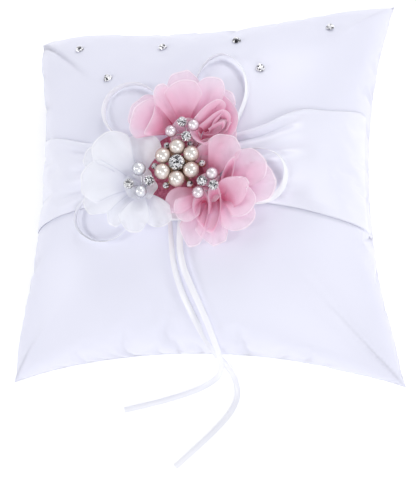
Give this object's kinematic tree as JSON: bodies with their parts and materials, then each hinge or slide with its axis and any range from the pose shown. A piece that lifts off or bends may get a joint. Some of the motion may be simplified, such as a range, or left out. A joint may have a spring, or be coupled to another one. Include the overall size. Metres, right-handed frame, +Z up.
{
  "type": "ring bearer pillow",
  "caption": "Square stuffed satin pillow with a satin sash, chiffon flowers, a pearl brooch, scattered stones and ribbon tails that tie wedding rings on",
  "frame": {"origin": "on the table under the middle of the pillow", "axes": "+Z up through the pillow; +X along the sash; +Y towards the edge with the scattered stones, away from the ribbon tails"},
  "size_m": [0.2, 0.2409, 0.0862],
  "materials": {
    "cover_satin": "bright white polyester satin with a soft broad sheen",
    "polyester_fill": "white polyester fibre filling",
    "sash_satin": "glossy white satin ribbon with a woven selvedge",
    "narrow_ribbon": "narrow double-faced white satin ribbon",
    "felt_backing": "deep pink felt that backs the flowers",
    "pink_chiffon": "sheer pink chiffon with rolled edges",
    "white_chiffon": "sheer white chiffon with rolled edges",
    "flower_pearl": "white imitation pearl with a nacre coat",
    "brooch_pearl": "ivory imitation pearl with a nacre coat",
    "pave_bead": "small ball set all over with tiny clear stones",
    "crystal": "clear cut stone with a mirrored back",
    "silver_wire": "bright silver-coloured wire and plate",
    "gold_metal": "pale gold-coloured filigree"
  },
  "bodies": {
    "root": {"cover_top": "cover_satin", "cover_bottom": "cover_satin", "filling": "polyester_fill", "satin_sash": "sash_satin", "felt_base": "felt_backing", "ribbon_knot": "narrow_ribbon", "rhinestone_1": "crystal", "rhinestone_2": "crystal", "rhinestone_3": "crystal", "rhinestone_4": "crystal", "rhinestone_5": "crystal", "rhinestone_6": "crystal", "top_pink_petal_1": "pink_chiffon", "top_pink_petal_2": "pink_chiffon", "top_pink_petal_3": "pink_chiffon", "top_pink_petal_4": "pink_chiffon", "top_pink_petal_5": "pink_chiffon", "top_pink_pearl_1": "flower_pearl", "top_pink_pearl_2": "flower_pearl", "top_pink_crystal_1": "pave_bead", "top_pink_crystal_2": "pave_bead", "top_pink_setting": "silver_wire", "right_pink_petal_1": "pink_chiffon", "right_pink_petal_2": "pink_chiffon", "right_pink_petal_3": "pink_chiffon", "right_pink_petal_4": "pink_chiffon", "right_pink_petal_5": "pink_chiffon", "right_pink_pearl_1": "flower_pearl", "right_pink_pearl_2": "flower_pearl", "right_pink_crystal_1": "pave_bead", "right_pink_crystal_2": "pave_bead", "right_pink_setting": "silver_wire", "white_petal_1": "white_chiffon", "white_petal_2": "white_chiffon", "white_petal_3": "white_chiffon", "white_petal_4": "white_chiffon", "white_petal_5": "white_chiffon", "white_pearl_1": "flower_pearl", "white_pearl_2": "flower_pearl", "white_crystal_1": "pave_bead", "white_crystal_2": "pave_bead", "white_setting": "silver_wire", "brooch_pearl_1": "brooch_pearl", "brooch_pearl_2": "brooch_pearl", "brooch_pearl_3": "brooch_pearl", "brooch_pearl_4": "brooch_pearl", "brooch_pearl_5": "brooch_pearl", "brooch_pearl_6": "brooch_pearl", "brooch_plate": "gold_metal", "brooch_centre_cup": "gold_metal", "brooch_centre_stones": "crystal", "brooch_rim_stones": "crystal", "ribbon_loop_upper_left": "narrow_ribbon", "ribbon_loop_upper_right": "narrow_ribbon", "ribbon_loop_right": "narrow_ribbon", "ribbon_loop_lower_left": "narrow_ribbon", "ribbon_tail_short": "narrow_ribbon", "ribbon_tail_long": "narrow_ribbon"}
  },
  "joints": []
}
